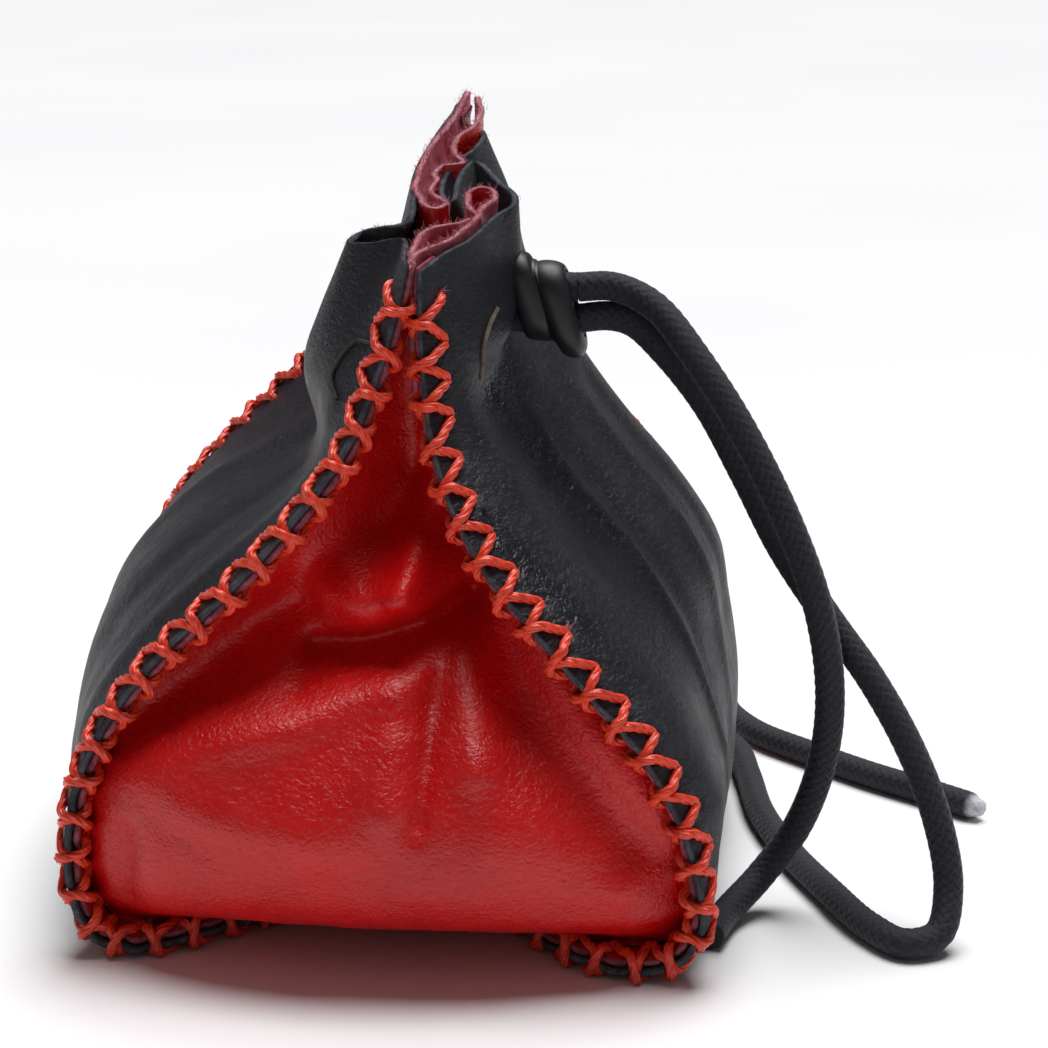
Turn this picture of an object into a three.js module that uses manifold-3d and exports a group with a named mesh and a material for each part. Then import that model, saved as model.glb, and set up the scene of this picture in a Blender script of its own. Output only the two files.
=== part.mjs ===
// A hand-laced drawstring dice bag in lined leather, about 95 mm wide, 90 mm deep and 107 mm high.
//
// Frame: millimetres, +Z up, the bag stands on z = 0.
// The near gusset faces -Y, and the side walls face -X and +X.
// The outer bag is one black strip (left wall, base, right wall) closed at both ends by a red gusset.
// A second, red bag of the same make lines it. One round cord gathers the neck: it loops through the
// left pleat, and both runs leave through holes in the right wall and pass through the cord stop.

import * as THREE from "three";
import { mergeVertices } from "three/addons/utils/BufferGeometryUtils.js";
import Module from "manifold-3d";

const wasm = await Module();
wasm.setup();

// ---- Driving dimensions -------------------------------------------------------------------------------

const leather = 1.1; // thickness of every panel
const layerGap = 0.5; // air between the outer panel and its liner
const seamGap = 0.7; // from a wall's inner face to the edge of the gusset beside it
const seamSetback = 0.04; // how far behind the wall's edge the gusset is laced in, as a share of the wall
const linerSetback = 0.08; // the same for the liner gusset
const linerWallStart = 0.14; // the liner wall covers the middle of the wall, from here to 1 minus this
const panelStart = 0.5 / 12; // gussets and liners start this far up the seam, just above the base
const wallColumns = 14; // quads across a wall
const gussetColumns = 8; // quads across a gusset
const panelRows = 18; // quads from the base to the mouth

const cordDiameter = 4;
const cordSides = 10;
const cordExitX = 24.3; // where the tails leave the cord stop
const cordMeetX = 3.1; // where the left loop meets the two right-hand runs
const cordY = -3;
const upperCordZ = 84.6;
const lowerCordZ = 80.2;
const cordHoleRadius = 2.7;

const laceDiameter = 1.4;
const laceSides = 6;

const stop = { startX: 17.3, length: 6.6, bore: 4.8, wall: 1.8 }; // an oblong band around both tails

// Seam rows from the base crease (0) to the mouth (12): each seam's x, y, z at that row.
const nearLeftSeam = [
  [-31, -41.5, 0.8], [-36.5, -41.5, 2.4], [-39.3, -41.5, 8], [-39.6, -41.5, 16], [-37.8, -41.5, 25],
  [-33.5, -41.2, 34], [-26, -40, 42.5], [-17.5, -38.6, 50.5], [-10, -36.2, 59.5], [-5.4, -32.6, 67],
  [-2.2, -28.8, 75], [0.4, -25.8, 83], [2.2, -24.2, 91],
];
const nearRightSeam = [
  [35, -41.5, 0.8], [41, -41.5, 2.4], [44.4, -41.5, 8], [43.9, -42, 16], [41, -42, 24.5],
  [35.3, -41.8, 33.2], [27.5, -41, 41.2], [20, -39.4, 49], [13.4, -35.8, 58], [10, -31.6, 66.5],
  [8.6, -28, 74.5], [8.2, -25.4, 82], [8, -24, 90],
];
const farLeftSeam = [
  [-31, 41.5, 0.8], [-37, 41.5, 2.4], [-41.5, 41.5, 8], [-44.2, 41.3, 17], [-44.8, 40.5, 27],
  [-44.2, 39.5, 36], [-42.2, 38.3, 44], [-34, 37, 53.5], [-25.5, 35.8, 62.5], [-17, 34.5, 72],
  [-9.5, 33, 82], [-3, 31.4, 94], [2.5, 30, 106.5],
];
const farRightSeam = [
  [35, 41.5, 0.8], [41.3, 41.5, 2.4], [45.2, 41.5, 8], [45.4, 41, 17], [44.8, 40.3, 27],
  [43.6, 39.3, 37], [40.5, 38, 46], [35, 36.8, 54.5], [29, 35.5, 63], [22, 34, 73],
  [16, 32.5, 83.5], [12, 31.2, 95], [9, 30, 106],
];

// How far each wall bows out of the straight line between its two seams, and how far a gusset stands
// forward of its seams at its middle (negative where it folds in), by seam row.
const leftBow = [0, -1.5, 2, 4.6, 5.7, 5.9, 5, 3, 0.5, -0.5, 0, 1, 2.5];
const rightBow = [0, -1.5, 0.5, 2, 3, 3.5, 3.5, 2.5, 1, 0, 0, 1.5, 4];
const nearBelly = [-4, 2.5, 6.5, 6, 4, 1.5, -1, -3, -4, -4, -3.5, -3, -2.5];
const farBelly = [-4, 2.5, 6.5, 6.4, 4, 2, 0, -2, -3, -3, -3, -3, -2.5];

// The outward pleat of each wall at the neck: its place across the wall, half width, and depth.
const leftPleat = { at: 0.42, halfWidth: 0.13, depth: 7.5, fromRow: 6, toRow: 10 };
const rightPleat = { at: 0.42, halfWidth: 0.1, depth: 2.5, fromRow: 8.5, toRow: 11.5 };

// The free tails, from the cord stop to the end, resting on z = 0. Tail A ends behind the near right corner,
// tail B turns back on the ground, turns once more behind the bag and ends beside it.
const tailRouteA = [
  [24.3, -3, 84.6], [28.5, -3, 84.8], [32, -3.8, 83.9], [35.5, -5.6, 82], [40.5, -9.2, 76.7],
  [46.9, -13, 68], [53.7, -16.4, 55.6], [58, -17.6, 44.2], [59.8, -17.2, 32.8], [59.1, -15.6, 22.2],
  [55.9, -14.2, 12], [51, -15.6, 5], [46.8, -22, 2.3], [44.8, -30, 2.2],
];
const tailRouteB = [
  [24.3, -3, 80.2], [28.5, -3, 80.2], [31.5, -3.1, 79.4], [35.8, -3.8, 75.8], [41.8, -5.2, 69],
  [47.4, -7, 60], [52.8, -8.9, 50.2], [59.4, -11.6, 41.2], [65.4, -15, 33.9], [70.8, -18.5, 25.4],
  [74.6, -21.6, 16.6], [76.3, -24, 8], [75, -27.6, 2.8], [70.7, -29.4, 2.1], [66.2, -24.6, 2.1],
  [60.8, -13.3, 2.1], [55.2, 0, 2.1], [50.4, 16.5, 2.1], [48, 32, 2.1], [45.6, 44, 2.1], [40.5, 51.5, 2.1],
  [33, 57, 2.1], [28, 65, 2.1], [29.5, 73.5, 2.1], [37, 75.5, 2.1], [42, 69.5, 2.1], [44.4, 60.5, 2.1],
  [49.2, 51.5, 2.1], [57, 43.6, 2.1], [66.9, 34.5, 2.1], [75.9, 27.6, 2.1], [83.4, 21.4, 2.1],
];

// ---- Materials ----------------------------------------------------------------------------------------

const blackLeather = { color: 0x2b2b30, roughness: 0.5, metalness: 0 };
const redLeather = { color: 0xa81216, roughness: 0.38, metalness: 0 };
const linerLeather = { color: 0xb3202c, roughness: 0.6, metalness: 0 };
const laceThread = { color: 0xd23420, roughness: 0.45, metalness: 0 };
const cordBraid = { color: 0x14161c, roughness: 0.9, metalness: 0 };
const stopPlastic = { color: 0x17181b, roughness: 0.35, metalness: 0 };

// ---- Geometry helpers ---------------------------------------------------------------------------------

const vector = ([x, y, z]) => new THREE.Vector3(x, y, z);
const smooth = (t) => t * t * (3 - 2 * t);
const clamp = (t) => Math.min(1, Math.max(0, t));

// A smooth value between the rows of a list, v running from 0 at the first row to 1 at the last.
function rowValue(list, v) {
  const place = clamp(v) * (list.length - 1);
  const row = Math.min(Math.floor(place), list.length - 2);
  return THREE.MathUtils.lerp(list[row], list[row + 1], smooth(place - row));
}

// A closed panel of leather: the surface point(u, v) offset by half the thickness to each side.
function panelGeometry(point, [uStart, uEnd], [vStart, vEnd], columns, rows, thickness = leather) {
  const positions = [];
  const indices = [];
  const step = 1e-3;
  const sides = [[], []];
  for (let row = 0; row <= rows; row += 1) {
    for (let column = 0; column <= columns; column += 1) {
      const u = THREE.MathUtils.lerp(uStart, uEnd, column / columns);
      const v = THREE.MathUtils.lerp(vStart, vEnd, row / rows);
      const along = point(u + step, v).sub(point(u - step, v));
      const upward = point(u, v + step).sub(point(u, v - step));
      const normal = along.cross(upward).normalize();
      for (const side of [0, 1]) {
        const offset = (side === 0 ? -0.5 : 0.5) * thickness;
        const place = point(u, v).addScaledVector(normal, offset);
        sides[side].push(positions.length / 3);
        positions.push(place.x, place.y, place.z);
      }
    }
  }
  const at = (side, row, column) => sides[side][row * (columns + 1) + column];
  const quad = (a, b, c, d) => indices.push(a, b, c, a, c, d);
  for (let row = 0; row < rows; row += 1) {
    for (let column = 0; column < columns; column += 1) {
      const corners = (side) => [
        at(side, row, column),
        at(side, row, column + 1),
        at(side, row + 1, column + 1),
        at(side, row + 1, column),
      ];
      quad(...corners(1));
      quad(...corners(0).reverse());
    }
    quad(at(0, row, 0), at(1, row, 0), at(1, row + 1, 0), at(0, row + 1, 0));
    quad(at(1, row, columns), at(0, row, columns), at(0, row + 1, columns), at(1, row + 1, columns));
  }
  for (let column = 0; column < columns; column += 1) {
    quad(at(1, 0, column), at(0, 0, column), at(0, 0, column + 1), at(1, 0, column + 1));
    quad(at(0, rows, column), at(1, rows, column), at(1, rows, column + 1), at(0, rows, column + 1));
  }
  const geometry = new THREE.BufferGeometry();
  geometry.setAttribute("position", new THREE.Float32BufferAttribute(positions, 3));
  geometry.setIndex(indices);
  return geometry;
}

// A round rod along a smooth curve, with closed ends.
function rodGeometry(points, diameter, sides, steps) {
  const path = new THREE.CatmullRomCurve3(points, false, "centripetal");
  const section = new THREE.Shape();
  for (let side = 0; side <= sides; side += 1) {
    const angle = (side / sides) * 2 * Math.PI;
    const x = (diameter / 2) * Math.cos(angle);
    const y = (diameter / 2) * Math.sin(angle);
    if (side === 0) section.moveTo(x, y);
    else if (side < sides) section.lineTo(x, y);
  }
  return new THREE.ExtrudeGeometry(section, { steps, extrudePath: path, bevelEnabled: false });
}

function solidOf(geometry) {
  const bare = geometry.clone();
  bare.deleteAttribute("normal");
  bare.deleteAttribute("uv");
  const merged = mergeVertices(bare, 1e-4);
  const mesh = new wasm.Mesh({
    numProp: 3,
    vertProperties: merged.attributes.position.array,
    triVerts: new Uint32Array(merged.index.array),
  });
  return new wasm.Manifold(mesh);
}

function geometryOf(solid) {
  const mesh = solid.getMesh();
  const geometry = new THREE.BufferGeometry();
  geometry.setAttribute("position", new THREE.Float32BufferAttribute(mesh.vertProperties, 3));
  geometry.setIndex([...mesh.triVerts]);
  geometry.computeVertexNormals();
  return geometry;
}

// The panel with a round hole through it along X at each of the places.
function punched(geometry, places, radius = cordHoleRadius) {
  let solid = solidOf(geometry);
  for (const [x, y, z] of places) {
    const punch = new THREE.CylinderGeometry(radius, radius, 9, 12);
    punch.rotateZ(Math.PI / 2);
    punch.translate(x, y, z);
    solid = solid.subtract(solidOf(punch));
  }
  return geometryOf(solid);
}

// ---- The bag's surfaces -------------------------------------------------------------------------------

const seamCurve = (rows) => new THREE.CatmullRomCurve3(rows.map(vector), false, "catmullrom", 0.4);
const seams = {
  nearLeft: seamCurve(nearLeftSeam),
  nearRight: seamCurve(nearRightSeam),
  farLeft: seamCurve(farLeftSeam),
  farRight: seamCurve(farRightSeam),
};

// A point of a wall: u from the near seam (0) to the far seam (1), v from the base crease (0) to the
// mouth (1).
function wallPoint(near, far, bow, pleat, outward) {
  return (u, v) => {
    const place = near.getPoint(clamp(v)).lerp(far.getPoint(clamp(v)), u);
    const row = v * (nearLeftSeam.length - 1);
    const rise = smooth(clamp((row - pleat.fromRow) / (pleat.toRow - pleat.fromRow)));
    const fold = Math.exp(-(((u - pleat.at) / pleat.halfWidth) ** 2));
    const out = rowValue(bow, v) * 4 * u * (1 - u) + pleat.depth * rise * fold;
    place.x += outward * out;
    return place;
  };
}

const noPleat = { ...leftPleat, depth: 0 };
const leftWall = wallPoint(seams.nearLeft, seams.farLeft, leftBow, leftPleat, -1);
const rightWall = wallPoint(seams.nearRight, seams.farRight, rightBow, rightPleat, 1);
const leftPlain = wallPoint(seams.nearLeft, seams.farLeft, leftBow, noPleat, -1);
const rightPlain = wallPoint(seams.nearRight, seams.farRight, rightBow, noPleat, 1);

// The unit normal of a wall that points into the bag.
function inward(wall, u, v, insideX) {
  const step = 1e-3;
  const along = wall(u + step, v).sub(wall(u - step, v));
  const upward = wall(u, v + step).sub(wall(u, v - step));
  const normal = along.cross(upward).normalize();
  return normal.x * insideX > 0 ? normal : normal.negate();
}

// The wall's surface moved towards the inside of the bag.
const offsetWall = (wall, insideX, distance) => (u, v) =>
  wall(u, v).addScaledVector(inward(wall, u, v, insideX), distance);

// A gusset hangs between two lines just inside the walls, and bellies out or folds in between them.
function gussetPoint(wallShare, belly, forwardY, setback) {
  const reach = leather / 2 + seamGap;
  const leftEdge = offsetWall(leftPlain, 1, reach);
  const rightEdge = offsetWall(rightPlain, -1, reach);
  return (u, v) => {
    const place = leftEdge(wallShare, v).lerp(rightEdge(wallShare, v), u);
    const shape = Math.sin(Math.PI * clamp(u)) ** 1.5;
    place.y += forwardY * (rowValue(belly, v) * shape - setback);
    return place;
  };
}

// ---- Sub-parts ----------------------------------------------------------------------------------------

const bag = new THREE.Group();

function addPart(parent, name, geometry, finish) {
  const mesh = new THREE.Mesh(geometry, new THREE.MeshStandardMaterial(finish));
  mesh.name = name;
  parent.add(mesh);
}

// Base of the strip: flat, with both laced edges drawn in at the middle.
function basePlate(leftX, rightX, cornerY, middleY, bottomZ) {
  const outline = new THREE.Shape();
  const middleX = (leftX + rightX) / 2;
  outline.moveTo(leftX, -cornerY);
  outline.quadraticCurveTo(middleX, -2 * middleY + cornerY, rightX, -cornerY);
  outline.lineTo(rightX, cornerY);
  outline.quadraticCurveTo(middleX, 2 * middleY - cornerY, leftX, cornerY);
  outline.closePath();
  const plate = new THREE.ExtrudeGeometry(outline, { depth: leather, bevelEnabled: false, curveSegments: 6 });
  plate.translate(0, 0, bottomZ);
  return plate;
}

function addOuterBag(parent) {
  addPart(parent, "outer_base", basePlate(-30.4, 34.4, 41, 37.5, 0), blackLeather);
  const left = panelGeometry(leftWall, [0, 1], [0, 1], wallColumns, panelRows);
  addPart(parent, "outer_left_wall", left, blackLeather);
  const right = panelGeometry(rightWall, [0, 1], [0, 1], wallColumns, panelRows);
  const holes = [[15, cordY, upperCordZ], [15, cordY, lowerCordZ]];
  addPart(parent, "outer_right_wall", punched(right, holes), blackLeather);
  const near = gussetPoint(seamSetback, nearBelly, -1, 0);
  const far = gussetPoint(1 - seamSetback, farBelly, 1, 0);
  const span = [[0, 1], [panelStart, 1], gussetColumns, panelRows];
  addPart(parent, "near_gusset", panelGeometry(near, ...span), redLeather);
  addPart(parent, "far_gusset", panelGeometry(far, ...span), redLeather);
}

function addLiner(parent) {
  const inset = leather + layerGap;
  addPart(parent, "liner_base", basePlate(-27.5, 31.5, 31, 31, leather + layerGap), linerLeather);
  const wallSpan = [[linerWallStart, 1 - linerWallStart], [2 * panelStart, 1], wallColumns - 4, panelRows];
  const left = panelGeometry(offsetWall(leftPlain, 1, inset), ...wallSpan);
  const leftHoles = [[-2, -5.9, upperCordZ - 0.6], [-2, 0.1, lowerCordZ + 0.6]];
  addPart(parent, "liner_left_wall", punched(left, leftHoles, 4.1), linerLeather);
  const right = panelGeometry(offsetWall(rightPlain, -1, inset), ...wallSpan);
  const rightHoles = [[11, cordY, upperCordZ], [11, cordY, lowerCordZ]];
  addPart(parent, "liner_right_wall", punched(right, rightHoles), linerLeather);
  const setback = leather / 2;
  const near = gussetPoint(linerSetback, nearBelly, -1, setback);
  const far = gussetPoint(1 - linerSetback, farBelly, 1, setback);
  const span = [[0.02, 0.98], [2 * panelStart, 0.97], gussetColumns - 2, panelRows - 2];
  addPart(parent, "liner_near_gusset", panelGeometry(near, ...span), linerLeather);
  addPart(parent, "liner_far_gusset", panelGeometry(far, ...span), linerLeather);
}

// Lacing: the thread of each seam as a plain round run, on the outer face beside the laced edge.
function addLacing(parent) {
  const lift = leather / 2 + 0.4 + laceDiameter / 2;
  const legs = [
    ["near_left_lacing", leftPlain, 0.02, 1],
    ["near_right_lacing", rightPlain, 0.02, -1],
    ["far_left_lacing", leftPlain, 0.98, 1],
    ["far_right_lacing", rightPlain, 0.98, -1],
  ];
  for (const [name, wall, share, insideX] of legs) {
    const surface = offsetWall(wall, insideX, -lift);
    const points = Array.from({ length: 15 }, (_, i) => surface(share, 0.11 + (0.87 * i) / 14));
    addPart(parent, name, rodGeometry(points, laceDiameter, laceSides, 24), laceThread);
  }
  for (const [name, side] of [["near_bottom_lacing", -1], ["far_bottom_lacing", 1]]) {
    const rise = laceDiameter / 2 + 0.05;
    const edge = (share) => {
      const middle = 1 - (2 * share - 1) ** 2;
      return new THREE.Vector3(-29 + 62 * share, side * (42.3 - 3.5 * middle), rise);
    };
    const points = Array.from({ length: 9 }, (_, i) => edge(i / 8));
    addPart(parent, name, rodGeometry(points, laceDiameter, laceSides, 12), laceThread);
  }
}

function addDrawstring(parent) {
  const loop = [
    [cordMeetX - 0.7, cordY, upperCordZ], [1.2, -3.2, upperCordZ], [-1, -4.8, upperCordZ - 0.1],
    [-3, -6.2, upperCordZ - 0.6], [-4.6, -5.8, 83.4], [-5.4, cordY, 82.4], [-4.6, -0.2, 81.4],
    [-3, 0.2, lowerCordZ + 0.6], [-1, -1.2, lowerCordZ + 0.1], [1.2, -2.8, lowerCordZ],
    [cordMeetX - 0.7, cordY, lowerCordZ],
  ];
  addPart(parent, "drawstring_loop", rodGeometry(loop.map(vector), cordDiameter, cordSides, 16), cordBraid);
  for (const [name, z] of [["drawstring_run_upper", upperCordZ], ["drawstring_run_lower", lowerCordZ]]) {
    const run = [[cordMeetX, cordY, z], [14, cordY, z], [cordExitX - 0.3, cordY, z]];
    addPart(parent, name, rodGeometry(run.map(vector), cordDiameter, cordSides, 2), cordBraid);
  }
  addPart(parent, "drawstring_tail_a", rodGeometry(tailRouteA.map(vector), cordDiameter, 8, 22), cordBraid);
  addPart(parent, "drawstring_tail_b", rodGeometry(tailRouteB.map(vector), cordDiameter, 8, 50), cordBraid);
}

// The cord stop: an oblong band that both tails pass through side by side.
function stadium(radius, halfSpan, Path) {
  const path = new Path();
  path.absarc(0, halfSpan, radius, 0, Math.PI, false);
  path.absarc(0, -halfSpan, radius, Math.PI, 2 * Math.PI, false);
  path.closePath();
  return path;
}

function addCordStop(parent) {
  const halfSpan = (upperCordZ - lowerCordZ) / 2;
  const outline = stadium(stop.bore / 2 + stop.wall, halfSpan, THREE.Shape);
  outline.holes.push(stadium(stop.bore / 2, halfSpan, THREE.Path));
  const options = { depth: stop.length, bevelEnabled: false, curveSegments: 8 };
  const band = new THREE.ExtrudeGeometry(outline, options);
  band.rotateX(Math.PI / 2);
  band.rotateZ(Math.PI / 2);
  band.translate(stop.startX, cordY, (upperCordZ + lowerCordZ) / 2);
  addPart(parent, "cord_stop", band, stopPlastic);
}

addOuterBag(bag);
addLiner(bag);
addLacing(bag);
addDrawstring(bag);
addCordStop(bag);

export default bag;
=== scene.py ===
import math

import bpy
import numpy as np
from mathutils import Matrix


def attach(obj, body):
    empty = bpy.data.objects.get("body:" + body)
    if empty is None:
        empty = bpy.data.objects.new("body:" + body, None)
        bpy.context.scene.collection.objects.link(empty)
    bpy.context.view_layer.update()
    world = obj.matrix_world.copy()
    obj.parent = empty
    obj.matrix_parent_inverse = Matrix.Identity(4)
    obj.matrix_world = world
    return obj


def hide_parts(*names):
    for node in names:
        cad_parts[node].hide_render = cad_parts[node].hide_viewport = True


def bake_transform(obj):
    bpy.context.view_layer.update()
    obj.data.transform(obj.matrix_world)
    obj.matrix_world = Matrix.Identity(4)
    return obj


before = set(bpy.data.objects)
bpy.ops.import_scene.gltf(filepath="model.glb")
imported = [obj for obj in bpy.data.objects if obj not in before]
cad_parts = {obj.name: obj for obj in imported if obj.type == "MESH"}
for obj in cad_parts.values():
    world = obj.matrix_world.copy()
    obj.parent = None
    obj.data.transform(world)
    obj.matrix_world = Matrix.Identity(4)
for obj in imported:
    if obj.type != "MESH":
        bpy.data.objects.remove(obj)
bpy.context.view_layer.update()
scene = bpy.context.scene
MM = 0.001
random = np.random.default_rng(12)

LEATHER = 1.0  # thickness of every panel
LAYER_GAP = 0.05  # air between two panels laced together
LAYERS = 2 * LEATHER + LAYER_GAP  # through both panels at a seam
HOLE_DEPTH = 4.0  # from the cut edge to the row of lacing holes
FLANGE = 4.6  # width of the gusset's laced border
PITCH = 5.4  # from one lacing hole to the next
LACE_RADIUS = 0.66
LINER_LEATHER = 0.9
CUT_ROUNDING = 0.18  # how far a cut edge bulges
CORD = 4.0  # diameter of the drawstring
CORD_Y = -3.0  # where its runs lie at the neck
UPPER_CORD, LOWER_CORD = 84.6, 80.2  # heights of its two runs
WALL_COLUMNS = 169  # points across the strip
WALL_ROWS = 161
BASE_ROWS = 71
MOUTH = 12  # the seam row at the mouth
UPRIGHT = (1, 2)  # the axes of lines drawn in y and z


# ---- Camera ----

CAMERA_PLACE = (56.8, -354.2, 145.7)
CAMERA_PITCH, CAMERA_YAW = 15.0, 6.5  # degrees down, and to the left


def add_camera():
    data = bpy.data.cameras.new("camera")
    data.lens = 90
    data.sensor_width = 36
    data.clip_start = 0.01
    camera = bpy.data.objects.new("camera", data)
    camera.location = [c * MM for c in CAMERA_PLACE]
    camera.rotation_euler = (math.radians(90 - CAMERA_PITCH), 0, math.radians(CAMERA_YAW))
    scene.collection.objects.link(camera)
    scene.camera = camera


add_camera()


# ---- Curves and surfaces ----


def spline(values, knots, places):
    """The smooth curve, or row of curves, through values[i] at knots[i], read at each of the places."""
    values, knots, places = (np.asarray(a, float) for a in (values, knots, places))
    flat = (-1,) + (1,) * (values.ndim - 1)
    steps = np.diff(knots)
    slopes = np.diff(values, axis=0) / steps.reshape(flat)
    tangents = np.concatenate([slopes[:1], slopes[:1], slopes[1:]])[: len(values)]
    tangents[-1] = slopes[-1]
    before, after = steps[:-1].reshape(flat), steps[1:].reshape(flat)
    tangents[1:-1] = (slopes[:-1] * after + slopes[1:] * before) / (before + after)
    i = np.clip(np.searchsorted(knots, places, side="right") - 1, 0, len(knots) - 2)
    h = steps[i].reshape(flat)
    t = (places - knots[i]).reshape(flat) / h
    return (
        (1 + 2 * t) * (1 - t) ** 2 * values[i]
        + t * (1 - t) ** 2 * h * tangents[i]
        + t * t * (3 - 2 * t) * values[i + 1]
        - t * t * (1 - t) * h * tangents[i + 1]
    )


def lengths(points):
    """How far along the line each of its points lies."""
    steps = np.linalg.norm(np.diff(points, axis=0), axis=1)
    return np.concatenate([[0], np.cumsum(steps)])


def read(values, places, knots=None):
    """The (n, 3) values read at the places, counted along the knots, or in rows."""
    knots = np.arange(len(values)) if knots is None else knots
    return np.stack([np.interp(places, knots, values[:, i]) for i in range(3)], axis=1)


def resample(points, count, fine=12):
    """Count points, evenly spaced along the smooth curve through the points."""
    points = np.asarray(points, float)
    knots = np.concatenate([[0], np.cumsum(np.linalg.norm(np.diff(points, axis=0), axis=1) ** 0.5)])
    dense = spline(points, knots, np.linspace(0, knots[-1], fine * len(points)))
    along = lengths(dense)
    return read(dense, np.linspace(0, along[-1], count), along)


def smoothed(path, reach):
    """The path averaged over the points up to `reach` steps away, with its ends kept."""
    steps = np.arange(-reach, reach + 1)
    places = np.clip(np.arange(len(path))[:, None] + steps, 0, len(path) - 1)
    weight = np.exp(-((steps / (0.5 * reach)) ** 2))
    return (path[places] * weight[:, None]).sum(axis=1) / weight.sum()


def unit(vectors):
    size = np.linalg.norm(vectors, axis=-1, keepdims=True)
    return vectors / np.maximum(size, 1e-9)


def grid_normals(grid):
    return unit(np.cross(np.gradient(grid, axis=1), np.gradient(grid, axis=0)))


def ramp(values, start, end):
    t = np.clip((np.asarray(values, float) - start) / (end - start), 0, 1)
    return t * t * (3 - 2 * t)


def noise(places, scale, seed):
    """Smooth noise from -1 to 1 at the (n, 3) places, with bumps about scale across."""
    p = np.asarray(places, float) / scale
    low = np.floor(p).astype(np.int64)
    f = p - low
    f = f * f * (3 - 2 * f)
    total = np.zeros(len(p))
    for corner in range(8):
        bits = np.array([corner >> 2 & 1, corner >> 1 & 1, corner & 1])
        cell = (low + bits) * np.array([73856093, 19349663, 83492791]) + seed * 2654435761
        mixed = cell[:, 0] ^ cell[:, 1] ^ cell[:, 2]
        mixed = (mixed ^ (mixed >> 13)) * 1274126177 & 0x7FFFFFFF
        value = (mixed ^ (mixed >> 16)) % 65536 / 32767.5 - 1
        weight = np.prod(np.where(bits, f, 1 - f), axis=1)
        total += weight * value
    return total


def ripples(grid, *parts):
    """Noise over a grid, as the sum of parts that each have a height, a scale and a seed."""
    points = grid.reshape(-1, 3)
    return sum(height * noise(points, scale, seed) for height, scale, seed in parts).reshape(grid.shape[:2])


def folded(grid, folds, axes=(0, 2)):
    """How far folds stand out at each point of the grid. A fold is a line in two of the axes, a width and a height."""
    flat = grid[..., list(axes)].reshape(-1, 2)
    total = np.zeros(len(flat))
    for line, width, height in folds:
        line = np.asarray(line, float)
        best = np.full(len(flat), 1e9)
        for a, b in zip(line[:-1], line[1:]):
            t = np.clip(((flat - a) @ (b - a)) / ((b - a) @ (b - a)), 0, 1)
            best = np.minimum(best, np.linalg.norm(flat - a - t[:, None] * (b - a), axis=1))
        total += height * np.exp(-((best / width) ** 2))
    return total.reshape(grid.shape[:2])


# ---- The bag's shape ----

# Seam rows from the base crease (0) to the mouth (12): the cut edge's x, y, z at that row.
NEAR_LEFT = [
    (-31, -41.5, 0.8), (-36.5, -41.5, 2.4), (-39.3, -41.5, 8), (-39.7, -41.5, 15.5), (-38, -41.5, 24.5),
    (-33.5, -41.2, 33.5), (-26.5, -40, 42.3), (-18, -38.7, 50.3), (-9.6, -36.2, 59.5), (-5, -32.8, 66),
    (-2, -29.5, 72.5), (1.2, -26.2, 80.2), (3.5, -24, 91),
]
NEAR_RIGHT = [
    (35, -41.5, 0.8), (41.2, -41.5, 2.4), (44.7, -41.5, 8), (43.9, -42, 15), (41.2, -42, 23.2),
    (36, -42, 32.2), (29.5, -41.2, 39.2), (22.6, -40, 46.8), (16.6, -38, 53.2), (11.6, -34.6, 60.5),
    (8.2, -30, 68.8), (6.2, -26, 78.5), (5.9, -24, 89.8),
]
FAR_LEFT = [
    (-31, 41.5, 0.8), (-37, 41.5, 2.4), (-41.5, 41.5, 8), (-44, 41.3, 17), (-45, 40.5, 26),
    (-45, 39.6, 35), (-43, 38.3, 42.5), (-35.5, 37, 52), (-26.5, 35.8, 61.5), (-18.5, 34.5, 70.5),
    (-6.5, 33, 80.5), (1, 31, 93), (4.6, 28.8, 106.3),
]
FAR_RIGHT = [
    (35, 41.5, 0.8), (41, 41.5, 2.4), (43.6, 41.5, 8), (42.6, 41, 17), (41.6, 40.3, 26),
    (40.3, 39.3, 36), (37, 38, 45), (30.2, 36.5, 54.5), (22.9, 35.5, 63), (16.6, 34, 72.5),
    (11, 32.5, 83), (7.2, 30.4, 94), (5.6, 29, 102.8),
]
LEFT_BOW = [0, -1.5, 2, 4.6, 5.7, 5.9, 5, 3]
RIGHT_BOW = [0, -1, 1.5, 3.2, 4.6, 5.6, 8.2, 9.3, 9.2, 8.4, 7]

# Upper rows of the left wall, from the near seam to the far seam, round the outward pleat.
LEFT_SHOULDER = [
    (-9.6, -36.2, 59.5), (-11.3, -29, 59.3), (-12.4, -23.5, 59), (-13.6, -17, 58.8), (-14.8, -11, 58.7),
    (-15.8, -5, 58.7), (-16.5, 1, 58.8), (-17, 6, 59), (-17.6, 11, 59.6), (-18.6, 16, 60.2),
    (-20.2, 21, 60.7), (-22.5, 28, 61.5), (-26, 35.8, 62),
]
LEFT_GATHER = [
    (0.7, -26.8, 78.6), (-2.2, -22, 78.8), (-5, -18.5, 78.7), (-8, -15, 78.2), (-10.6, -11, 77.8),
    (-12.4, -6, 77.5), (-11.6, -1.5, 77.8), (-8.6, 1.6, 78.8), (-6.2, 3.6, 80), (-5.2, 7, 81.5),
    (-4, 12, 83), (-2.6, 20, 86.5), (-0.6, 31.4, 90),
]
LEFT_RIM = [
    (3.5, -24, 91), (2.6, -19.4, 91.4), (1.9, -15.1, 92.7), (-2.2, -13.6, 91.8), (-5.8, -11, 91.3),
    (-6.5, -7.6, 91.3), (-5.4, -4.8, 91.9), (-2.6, -6.2, 92.8), (1.4, -9, 94.1), (1.5, -4.2, 96.1),
    (0.5, 3.5, 98.4), (1.4, 14.5, 101.8), (3.9, 28.8, 106.3),
]

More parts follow.
